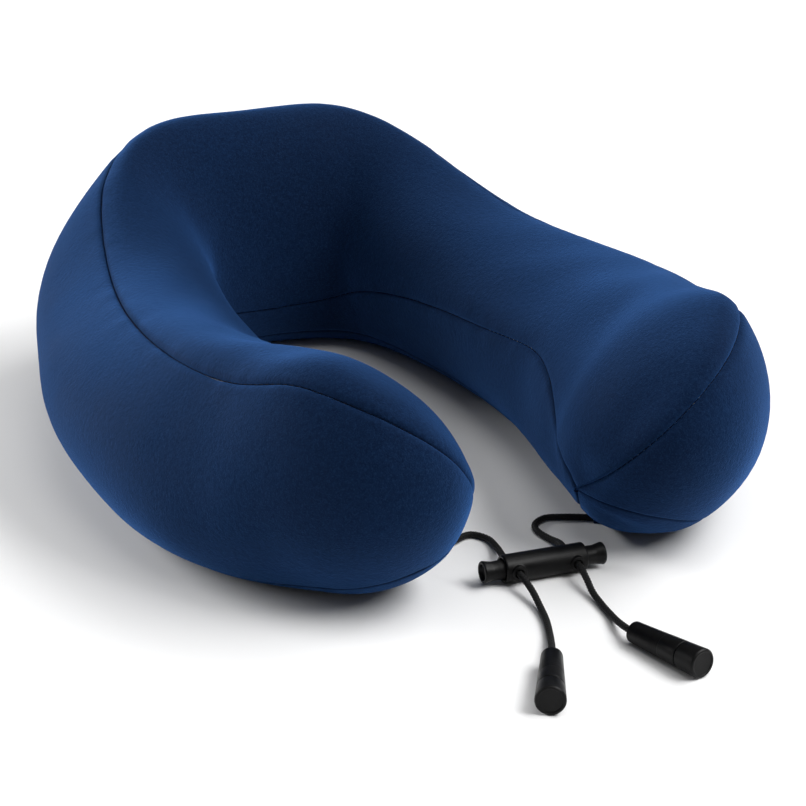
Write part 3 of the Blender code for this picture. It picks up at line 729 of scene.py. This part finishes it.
def add_spring_half(name, side, place, metal):
    """Half of the spring, from the toggle's middle to a button's stem."""
    coil = []
    for i in range(SPRING_TURNS_EACH_SIDE * SPRING_STEPS + 1):
        share = i / (SPRING_TURNS_EACH_SIDE * SPRING_STEPS)
        turn = 2.0 * math.pi * SPRING_TURNS_EACH_SIDE * share * side
        round_ = (SPRING_RADIUS * math.cos(turn), SPRING_RADIUS * math.sin(turn))
        coil.append(tuple(place @ Vector((side * SPRING_HALF_LENGTH * share, *round_))))
    spring = tube(f"toggle_spring_wire_{name}", coil, SPRING_WIRE_RADIUS, 10, metal)
    attach(spring, "toggle", "toggle_spring")
    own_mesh(spring)
    return spring


def add_toggle(plastic, metal):
    place = Matrix.Translation(TOGGLE_CENTRE) @ Matrix.Rotation(math.radians(TOGGLE_TURN_DEG), 4, "Z")
    barrel = add_barrel(place, plastic)
    buttons = [add_button("left", 180.0, place, plastic), add_button("right", 0.0, place, plastic)]
    springs = [add_spring_half("left", -1.0, place, metal), add_spring_half("right", 1.0, place, metal)]
    return [barrel, *springs, *buttons]


# ---------------------------------------------------------------- cord ends
def add_bell(side, plastic, cord_surface):
    place = bell_place(side)

    def outer(along):
        return BELL_NARROW_RADIUS + (BELL_WIDE_RADIUS - BELL_NARROW_RADIUS) * along / BELL_LENGTH

    seam = BELL_SHELL_LENGTH
    step = 0.47 * BELL_LENGTH
    shell = (
        (outer(seam) - BELL_WALL, seam), (outer(seam), seam), (outer(step + 0.0003), step + 0.0003),
        (outer(step) - 0.00012, step), (outer(step - 0.0003) - 0.00004, step - 0.0003),
        (outer(0.0012), 0.0012), (outer(0.0), 0.0004), (BELL_NARROW_RADIUS - 0.0012, 0.0),
        (HOLE_RADIUS + 0.0002, 0.0), (HOLE_RADIUS, 0.0003), (HOLE_RADIUS, 0.0022),
        (BELL_NARROW_RADIUS - BELL_WALL, 0.0034),
    )
    body = lathe(f"cord_end_body_{side}", shell, plastic, place, rounding=MOULDED_CORNER)
    gap = 0.0003
    plug = outer(seam) - BELL_WALL - gap
    wide = outer(BELL_LENGTH)
    lid = (
        (0.0, BELL_LENGTH - 0.0003), (wide - 0.0014, BELL_LENGTH - 0.0003), (wide - 0.0011, BELL_LENGTH),
        (wide - 0.0005, BELL_LENGTH), (wide, BELL_LENGTH - 0.0006), (outer(seam + 0.0006), seam + 0.0006),
        (outer(seam) - 0.0002, seam + gap), (plug, seam + gap),
        (plug - 0.0002, seam - 0.004), (0.0, seam - 0.004),
    )
    cap = lathe(f"cord_end_lid_{side}", lid, plastic, place, rounding=0.00025)

    def wrap(turn, along):
        share = along / (2.0 * KNOT_RADIUS)
        ball = np.sqrt(np.clip(share * (1.0 - share), 0.0, 1.0)) * 2.0 * KNOT_RADIUS
        return ball * (1.0 + 0.06 * np.cos(3.0 * turn + 16.0 * share)) - 0.0001

    steps = 40
    places = [KNOT_AT - KNOT_RADIUS + 2.0 * KNOT_RADIUS * k / steps for k in range(steps + 1)]
    line = [tuple(place @ Vector((along, 0.0, 0.0))) for along in places]
    knot = tube(f"cord_end_knot_{side}", line, 0.0002, 36, cord_surface, wrap)
    attach(body, f"cord_end_{side}", f"cord_end_shell_{side}")
    attach(cap, f"cord_end_{side}", f"cord_end_cap_{side}")
    attach(knot, f"cord_end_{side}", f"cord_knot_{side}")
    return [body, cap, knot]


# ---------------------------------------------------------------- the pillow's form
def through_stations(values, odd=False):
    """A natural cubic curve through the six stations and their mirror images: nape 0, tip 1."""
    heights = np.array([-v if odd else v for v in values[:0:-1]] + list(values), float)
    count = len(heights)
    step = 1.0 / (len(values) - 1)
    system = np.eye(count)
    pull = np.zeros(count)
    for i in range(1, count - 1):
        system[i, i - 1:i + 2] = (1.0, 4.0, 1.0)
        pull[i] = 6.0 * (heights[i + 1] - 2.0 * heights[i] + heights[i - 1]) / step ** 2
    bends = np.linalg.solve(system, pull)

    def value(t):
        i = min(max(int((t + 1.0) / step), 0), count - 2)
        b = (t + 1.0) / step - i
        a = 1.0 - b
        bend = (a ** 3 - a) * bends[i] + (b ** 3 - b) * bends[i + 1]
        return a * heights[i] + b * heights[i + 1] + bend * step ** 2 / 6.0

    return value


spine_x = through_stations(SPINE_X, odd=True)
spine_y = through_stations(SPINE_Y)
half_width = through_stations(HALF_WIDTH)
top_height = through_stations(TOP_HEIGHT)
widest_height = through_stations(WIDEST_HEIGHT)
lean = through_stations(LEAN)
crest_shift = through_stations(CREST_SHIFT)
outer_seam = through_stations(OUTER_SEAM_DEG)
neck_seam = through_stations(NECK_SEAM_DEG)
side_base_seam = through_stations(SIDE_BASE_SEAM_DEG)
base_roundness = through_stations(BASE_ROUNDNESS)


def spine_frame(t):
    ahead = 0.001
    dx = spine_x(t + ahead) - spine_x(t - ahead)
    dy = spine_y(t + ahead) - spine_y(t - ahead)
    length = math.hypot(dx, dy)
    return spine_x(t), spine_y(t), dx / length, dy / length


def power(value, exponent):
    return math.copysign(abs(value) ** exponent, value)


def section(t, angle, inset):
    """Distance outwards from the spine and height, for an angle that is 0 outwards and 90 at the top."""
    c = math.cos(angle)
    s = math.sin(angle)
    width = half_width(t) - inset + CAGE_SWELL
    widest = widest_height(t)
    if s > 0.0:
        out = width * power(c, 2.0 / TOP_ROUNDNESS)
        rise = top_height(t) - inset + CAGE_SWELL - widest
        height = widest + rise * s ** (2.0 / TOP_ROUNDNESS)
        out += crest_shift(t) * s ** 3
    else:
        out = width * power(c, 2.0 / base_roundness(t))
        height = widest - (widest - inset + BASE_SINK) * (-s) ** (2.0 / base_roundness(t))
        height = max(height, inset)
    out += lean(t) * (height - widest) / top_height(t)
    return out, height


def row_angles(t):
    """The angle of each lengthwise row: the outer seam first, over the top, down the neck wall, under."""
    outer = outer_seam(t)
    marks = (outer, neck_seam(t), NECK_BASE_SEAM_DEG, side_base_seam(t), outer + 360.0)
    angles = []
    for start, end, count in zip(marks, marks[1:], PANEL_ROWS.values()):
        angles += [start + (end - start) * k / count for k in range(count)]
    return [math.radians(a) for a in angles]


def body_point(t, angle, inset):
    x, y, tx, ty = spine_frame(t)
    out, height = section(t, angle, inset)
    return x - ty * out, y + tx * out, height


def tip_point(side, share, angle, inset):
    """Share 1 is the tip's rim and 0 the point where the seams meet; rows run straight between them."""
    across = share * math.cos(angle) + (1.0 - share) * SEAM_POINT[0]
    upward = share * math.sin(angle) + (1.0 - share) * SEAM_POINT[1]
    reach = min(math.hypot(across, upward), 1.0)
    x, y, tx, ty = spine_frame(side)
    out, height = section(side, math.atan2(upward, across), inset)
    out *= reach
    height = TIP_MIDDLE_HEIGHT + (height - TIP_MIDDLE_HEIGHT) * reach
    bulge = (1.0 - reach ** TIP_ROUNDNESS) ** (1.0 / TIP_ROUNDNESS)
    forward = side * (TIP_LENGTH - inset + CAGE_SWELL) * bulge
    return x - ty * out + tx * forward, y + tx * out + ty * forward, height


def form_cage(inset=0.0):
    """Control rings of points in metres, from the left tip's seam point round the nape to the right tip's."""
    left = [[tip_point(-1.0, share, a, inset) for a in row_angles(-1.0)] for share in (0.0, *TIP_RINGS[::-1])]
    places = [-1.0 + 2.0 * i / (BODY_RINGS - 1) for i in range(BODY_RINGS)]
    body = [[body_point(t, a, inset) for a in row_angles(t)] for t in places]
    right = [[tip_point(1.0, share, a, inset) for a in row_angles(1.0)] for share in (*TIP_RINGS, 0.0)]
    return np.array(left + body + right) * MM


def spline_matrix(places, count, periodic):
    """Weights of a uniform cubic B-spline: place k is at control k, and the end controls repeat."""
    places = np.asarray(places, float)
    whole = np.floor(places).astype(int)
    f = places - whole
    weights = ((1 - f) ** 3, 3 * f ** 3 - 6 * f ** 2 + 4, -3 * f ** 3 + 3 * f ** 2 + 3 * f + 1, f ** 3)
    matrix = np.zeros((len(places), count))
    for k, weight in enumerate(weights):
        index = whole - 1 + k
        index = index % count if periodic else np.clip(index, 0, count - 1)
        np.add.at(matrix, (np.arange(len(places)), index), weight / 6.0)
    return matrix


class Form:
    """The pillow's surface over (u, v): u runs along the control rings and v round the rows.

    A relief measured on an even grid, such as the cloth's, can be laid over it."""

    def __init__(self, inset=0.0):
        self.cage = form_cage(inset)
        self.first = -1.0
        self.last = float(len(self.cage))
        self.rows = self.cage.shape[1]
        self.relief = None

    def points(self, u, v):
        u = np.clip(u, self.first, self.last)
        along = spline_matrix(u, len(self.cage), False)
        round_ = spline_matrix(v, self.rows, True)
        made = np.einsum("ui,vj,ijk->uvk", along, round_, self.cage)
        if self.relief is not None:
            count_u, count_v = self.relief.shape[:2]
            at_u = (u - self.first) / (self.last - self.first) * (count_u - 1)
            at_v = np.asarray(v) / self.rows * count_v
            along = spline_matrix(at_u, count_u, False)
            round_ = spline_matrix(at_v, count_v, True)
            made += np.einsum("ui,vj,ijk->uvk", along, round_, self.relief)
        return made

    def normals(self, u, v):
        step = 0.02
        du = self.points(u + step, v) - self.points(u - step, v)
        dv = self.points(u, v + step) - self.points(u, v - step)
        made = unit(np.cross(dv, du))
        for end, inner in ((0, 2), (-1, -3)):
            if u[end] in (self.first, self.last):
                made[end] = unit(made[inner].mean(axis=0))
        return made


def ring_places(form, tip_steps, body_steps):
    """Places along the form, closer together in a body segment, which is longer, than at the tips."""
    tip_segments = len(TIP_RINGS) + 2
    left = np.arange(form.first, form.first + tip_segments, 1.0 / tip_steps)
    middle = np.arange(form.first + tip_segments, form.last - tip_segments, 1.0 / body_steps)
    right = form.last - left[::-1]
    return np.concatenate([left, middle, right + form.first])


# ---------------------------------------------------------------- cloth
def simulate_cover(form):
    """Inflates the cover a little as cloth held at its seams and flat base, and keeps that as the relief."""
    rings = CLOTH_RINGS
    rows = form.rows * CLOTH_STEPS_PER_ROW
    u = np.linspace(form.first, form.last, rings)
    v = np.arange(rows) * form.rows / rows
    rest = form.points(u, v) - form.normals(u, v) * CLOTH_START_INSET
    points = np.concatenate([rest[1:-1].reshape(-1, 3), rest[0, :1], rest[-1, :1]])
    faces = grid_faces(rings - 2, rows, True)
    first_pole = (rings - 2) * rows
    last_ring = (rings - 3) * rows
    for j in range(rows):
        after = (j + 1) % rows
        faces.append([first_pole, after, j])
        faces.append([first_pole + 1, last_ring + j, last_ring + after])
    cloth = clean(new_mesh_object("cover_cloth", points, faces, None), merge=0.0)

    held = cloth.vertex_groups.new(name="held")
    seams = np.cumsum([0, *PANEL_ROWS.values()])[:-1] * CLOTH_STEPS_PER_ROW
    seam_points = [int(i * rows + j) for i in range(rings - 2) for j in seams]
    flat_points = [i for i, p in enumerate(points) if p[2] < CLOTH_FLAT_BASE]
    held.add(sorted({*seam_points, *flat_points, first_pole, first_pole + 1}), 1.0, "REPLACE")

    modifier = cloth.modifiers.new("cloth", "CLOTH")
    settings = modifier.settings
    settings.quality = 6
    settings.mass = 0.2
    settings.tension_stiffness = settings.compression_stiffness = 20.0
    settings.shear_stiffness = 8.0
    settings.bending_stiffness = 0.8
    settings.use_pressure = True
    settings.uniform_pressure_force = 4.0
    settings.shrink_min = -0.02
    settings.vertex_group_mass = "held"
    settings.pin_stiffness = 1.0
    settings.effector_weights.gravity = 0.0
    modifier.collision_settings.use_self_collision = False
    scene = bpy.context.scene
    for number in range(CLOTH_FRAMES):
        scene.frame_set(number + 1)
    evaluated = cloth.evaluated_get(bpy.context.evaluated_depsgraph_get())
    moved = np.array([p.co for p in evaluated.data.vertices]) - points
    scene.frame_set(1)
    bpy.data.objects.remove(cloth, do_unlink=True)
    size = np.linalg.norm(moved, axis=1, keepdims=True)
    moved *= np.minimum(1.0, SWELL_LIMIT / np.maximum(size, 1e-9))
    relief = np.zeros((rings, rows, 3))
    relief[1:-1] = moved[: (rings - 2) * rows].reshape(rings - 2, rows, 3)
    for _ in range(RELIEF_PASSES):
        relief = (np.roll(relief, 1, axis=1) + 2.0 * relief + np.roll(relief, -1, axis=1)) / 4.0
        relief[1:-1] = (relief[:-2] + 2.0 * relief[1:-1] + relief[2:]) / 4.0
    # The sewn zip holds the cover flat around it.
    beside = np.abs(rest[:, :, 0]) - ZIP_HOLD_HALF_LENGTH
    above = np.abs(rest[:, :, 2] - ZIP_MIDDLE_HEIGHT * MM) - ZIP_HOLD_HALF_HEIGHT
    free = np.clip(np.maximum(beside, above) / ZIP_HOLD_FADE, 0.0, 1.0)
    relief *= np.where(rest[:, :, 1] > 0.1, free, 1.0)[:, :, None]
    form.relief = relief
    print(f"cloth moved {size.mean() * 1000:.2f} mm on average and {size.max() * 1000:.2f} mm at most")


# ---------------------------------------------------------------- cover
def panel_places(first_row, row_count):
    """Places round the form across one panel, packed closely at its two seams."""
    scale = min(1.0, row_count / 2.0)
    near = np.array(SEAM_STEPS) * scale
    middle = np.arange(scale, row_count - scale, PANEL_STEP)[1:]
    places = np.concatenate([near, middle, row_count - near[::-1]])
    return first_row + np.unique(np.round(places, 6))


def seam_wave(length, seed):
    """Smooth irregular waves along a seam: where the sewn plush gathers."""
    chance = np.random.RandomState(seed)
    knots = np.arange(0.0, length + 2 * PUCKER_SPACING, PUCKER_SPACING)
    knots = knots + chance.uniform(-0.3, 0.3, len(knots)) * PUCKER_SPACING
    heights = chance.uniform(-1.0, 1.0, len(knots))
    fine = np.linspace(0.0, length, 1600)
    rough = np.interp(fine, knots, heights)
    window = np.hanning(9)
    return fine, np.convolve(rough, window / window.sum(), mode="same")


def panel_surface(form, u, v, depths, seed):
    """The panel's outer surface: rounded in at its seams, gathered along them and gently uneven."""
    points = form.points(u, v)
    normals = form.normals(u, v)
    steps = np.linalg.norm(np.diff(points, axis=1), axis=2)
    from_first = np.concatenate([np.zeros((len(u), 1)), np.cumsum(steps, axis=1)], axis=1)
    width = from_first[:, -1:]
    height = np.zeros(points.shape[:2])
    for side, distance in enumerate((from_first, width - from_first)):
        full = depths[side] * SEAM_SHOULDER_RATIO
        shoulder = np.minimum(full, width * 0.5 + 1e-6)
        near = np.clip(1.0 - distance / shoulder, 0.0, 1.0)
        height -= depths[side] * (shoulder / full) * (1.0 - np.sqrt(1.0 - near ** 2))
        along = lengths_along(points[:, -side])
        fine, wave = seam_wave(along[-1], seed + side)
        fade = np.exp(-((distance / PUCKER_REACH) ** 2)) * np.clip(width / 0.02, 0.0, 1.0)
        height += PUCKER_DEPTH * (depths[side] / MM) * np.interp(along, fine, wave)[:, None] * fade
    uneven = [noise.noise(Vector(p) * 20.0) * 0.40 + noise.noise(Vector(p) * 70.0) * 0.07
              for p in points.reshape(-1, 3)]
    height += np.array(uneven).reshape(height.shape) * MM
    lift = np.clip(points[:, :, 2] / FLOOR_FADE, FLOOR_SHARE, 1.0)
    moved = points + normals * (height * lift)[:, :, None]
    for edge, inner in ((0, 1), (-1, -2)):
        moved[:, edge] += unit(points[:, inner] - points[:, edge]) * PANEL_GAP * (width > 1.0 * MM)
    moved[:, :, 2] = np.maximum(moved[:, :, 2], 0.0)
    return moved, normals


def add_panel(form, name, first_row, row_count, surface, depths, seed):
    u = ring_places(form, 12, 30)
    v = panel_places(first_row, row_count)
    outside, normals = panel_surface(form, u, v, depths, seed)
    inside = outside - normals * COVER_THICKNESS
    inside[:, :, 2] = np.maximum(inside[:, :, 2], INSIDE_LOWEST)
    rows, columns = outside.shape[:2]
    total = rows * columns
    points = np.concatenate([outside.reshape(-1, 3), inside.reshape(-1, 3)])
    faces = grid_faces(rows, columns)
    faces += [[index + total for index in reversed(face)] for face in faces]
    for column in (0, columns - 1):
        for i in range(rows - 1):
            a = i * columns + column
            b = a + columns
            faces.append([a, b, b + total, a + total] if column == 0 else [b, a, a + total, b + total])
    piece = clean(new_mesh_object(f"cover_{name}_plush", points, faces, surface), 2e-6)
    attach(piece, "pillow", f"cover_{name}")


def stitch_paths(line):
    """Short stretches of a line, each one stitch long."""
    along = lengths_along(line)
    pitch = STITCH_LENGTH + STITCH_GAP
    starts = [k * pitch for k in range(int(along[-1] / pitch))]
    return [read_at(line, along, np.linspace(start, start + STITCH_LENGTH, 5)) for start in starts]


def add_seam_thread(form, name, row, surface):
    """A row of short stitches that lie at the bottom of a seam."""
    u = ring_places(form, 40, 110)
    v = np.array([float(row)])
    line = form.points(u, v)[:, 0] - form.normals(u, v)[:, 0] * (SEAM_DEPTH[name] * 0.72)
    paths = [path for path in stitch_paths(line) if path[:, 2].min() > 0.0008]
    attach(many_tubes(f"seam_thread_{name}", paths, STITCH_RADIUS, 6, surface), "pillow")


def add_foam(surface):
    """The moulded block inside: the same form, smaller, with a low relief of mould marks."""
    form = Form(FOAM_INSET)
    u = ring_places(form, 5, 10)
    v = np.arange(0.0, form.rows, 0.25)
    points = form.points(u, v)
    normals = form.normals(u, v)
    marks = np.array([noise.noise(Vector(p) * 60.0) for p in points.reshape(-1, 3)]) * FOAM_MARK_DEPTH
    moved = points + normals * marks.reshape(len(u), len(v), 1)
    moved[:, :, 2] = np.maximum(moved[:, :, 2], FOAM_INSET * MM)
    faces = grid_faces(len(u), len(v), True)
    piece = clean(new_mesh_object("foam_core_block", moved.reshape(-1, 3), faces, surface), 1e-5)
    attach(piece, "pillow", "foam_core")


# ---------------------------------------------------------------- zip
def zip_place(angle_deg, up=0.0, out=0.0):
    """A point on the zip's cone in metres: degrees round from the nape, millimetres up its wall and out."""
    slope = math.radians(ZIP_WALL_SLOPE_DEG)
    radius = ZIP_MIDDLE_RADIUS + up * math.sin(slope) + out * math.cos(slope)
    height = ZIP_MIDDLE_HEIGHT + up * math.cos(slope) - out * math.sin(slope)
    turn = math.radians(90.0 + angle_deg)
    return np.array((radius * math.cos(turn), ZIP_AXIS_Y + radius * math.sin(turn), height)) * MM


def bent_strip(name, outline, half_angle_deg, surface, steps=120):
    """A strip of constant (up, out) outline bent round the zip's axis, closed at both ends."""
    points = []
    for i in range(steps + 1):
        angle = -half_angle_deg + 2.0 * half_angle_deg * i / steps
        points += [zip_place(angle, up, out) for up, out in outline]
    piece = clean(new_mesh_object(name, points, capped_tube_faces(steps + 1, len(outline)), surface))
    piece.data.set_sharp_from_angle(angle=math.radians(50.0))
    return piece


def zip_coil(side):
    """The centre line of one coil: flattened turns whose tips reach towards the other side's."""
    half_angle = ZIP_HALF_ANGLE_DEG - COIL_MARGIN_DEG
    count = int(math.radians(2.0 * half_angle) * ZIP_MIDDLE_RADIUS / COIL_PITCH) * COIL_STEPS
    line = []
    for i in range(count + 1):
        turn = 2.0 * math.pi * i / COIL_STEPS
        up = side * (COIL_RADIUS + 0.15 + (COIL_RADIUS - 0.22) * math.cos(turn))
        out = TAPE_THICKNESS + 0.3 + COIL_RADIUS + (COIL_RADIUS - 0.26) * math.sin(turn)
        line.append(zip_place(half_angle * (2.0 * i / count - 1.0), up, out))
    return line


def zip_racetrack(half_length, half_height, corner, steps=14):
    """A closed rounded rectangle on the zip's cone: (along, up) and the outward direction at each point."""
    line = []
    for quarter, (x, y) in enumerate(((1, 1), (-1, 1), (-1, -1), (1, -1))):
        for k in range(steps + 1):
            turn = math.radians(90.0 * (quarter + k / steps))
            across = (math.cos(turn), math.sin(turn))
            centre = (x * (half_length - corner), y * (half_height - corner))
            line.append((centre[0] + corner * across[0], centre[1] + corner * across[1], *across))
    dense = []
    for first, second in zip(np.array(line), np.array(line[1:] + line[:1])):
        count = max(int(math.dist(first[:2], second[:2]) / WELT_STEP), 1)
        dense += [first * (1 - k / count) + second * k / count for k in range(count)]
    return dense


def along_to_degrees(along):
    return math.degrees(along / ZIP_MIDDLE_RADIUS)


def add_welt(surface, thread):
    """The folded plush edge sewn round the zip's opening, with its row of stitches."""
    half_length = math.radians(ZIP_HALF_ANGLE_DEG) * ZIP_MIDDLE_RADIUS + WELT_MARGIN
    track = zip_racetrack(half_length, WELT_HALF_HEIGHT, WELT_CORNER)
    points = []
    for along, up, x, y in track:
        for k in range(WELT_SIDES):
            turn = 2.0 * math.pi * k / WELT_SIDES
            spread = WELT_HALF_WIDTH * math.cos(turn)
            degrees = along_to_degrees(along + x * spread)
            points.append(zip_place(degrees, up + y * spread, WELT_OUT + WELT_RISE * math.sin(turn)))
    faces = grid_faces(len(track), WELT_SIDES, True, True)
    welt = clean(new_mesh_object("zip_welt", points, faces, surface))
    seam = zip_racetrack(half_length - 1.0, WELT_HALF_HEIGHT - 1.0, WELT_CORNER - 0.8)
    line = np.array([zip_place(along_to_degrees(q[0]), q[1], WELT_OUT + WELT_RISE * 0.86) for q in seam])
    stitches = many_tubes("zip_welt_stitches", stitch_paths(line), STITCH_RADIUS, 6, thread)
    for piece in (welt, stitches):
        attach(piece, "pillow")


def add_zip(tape_surface, coil_surface):
    half_angle = ZIP_HALF_ANGLE_DEG + along_to_degrees(WELT_MARGIN * 0.6)
    for name, side in (("upper", 1.0), ("lower", -1.0)):
        low, high = side * 0.15, side * TAPE_WIDTH
        tape_outline = [(low, 0.0), (high, 0.0), (high, TAPE_THICKNESS), (low, TAPE_THICKNESS)]
        tape = bent_strip(f"zip_tape_{name}", tape_outline, half_angle, tape_surface)
        coil = tube(f"zip_coil_{name}", zip_coil(side), MONOFILAMENT_RADIUS, 6, coil_surface)
        attach(tape, "pillow", f"zipper_tape_{name}")
        attach(coil, "pillow", f"zipper_coil_{name}")


def finish_cad(name, surface, edge_width=None):
    """A CAD node whose shape is right keeps its mesh, and gets its material and sometimes a finer edge."""
    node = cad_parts[name]
    node.data.materials.clear()
    node.data.materials.append(surface)
    if edge_width is not None:
        edge = node.modifiers.new("edge", "BEVEL")
        edge.width = edge_width
        edge.segments = 3
        edge.limit_method = "ANGLE"
        edge.angle_limit = math.radians(35.0)
        edge.harden_normals = False


# ---------------------------------------------------------------- assembly
bpy.context.scene.view_settings.view_transform = "Standard"
add_camera()
cord_black = cord_material()
plastic_black = plastic_material()
steel = steel_material()
plush_navy = plush_material()
thread_navy = thread_material()
tape_navy = tape_material()
cords = {
    "left": add_cord("left", LEFT_ROUTE, LEFT_HOLE_POINT, cord_black),
    "right": add_cord("right", RIGHT_ROUTE, RIGHT_HOLE_POINT, cord_black),
}
toggle_pieces = add_toggle(plastic_black, steel)
bell_pieces = {side: add_bell(side, plastic_black, cord_black) for side in BELLS}

pillow = Form()
simulate_cover(pillow)
first = 0
seam_depths = list(SEAM_DEPTH.values())
for number, (panel, rows) in enumerate(PANEL_ROWS.items()):
    depths = (seam_depths[number], seam_depths[(number + 1) % len(seam_depths)])
    add_panel(pillow, panel, first, rows, plush_navy, depths, 10 * number + 1)
    add_seam_thread(pillow, panel, first, thread_navy)
    first += rows
add_foam(foam_material())
add_zip(tape_navy, coil_material())
add_welt(plush_navy, thread_navy)
for name in ("zipper_slider", "zipper_pull", "zipper_stop_left", "zipper_stop_right"):
    finish_cad(name, steel, METAL_EDGE)
for name in ("cord_tab_left", "cord_tab_right"):
    finish_cad(name, tape_navy)

add_floor()
add_world()
for light in LIGHTS:
    add_light(*light)
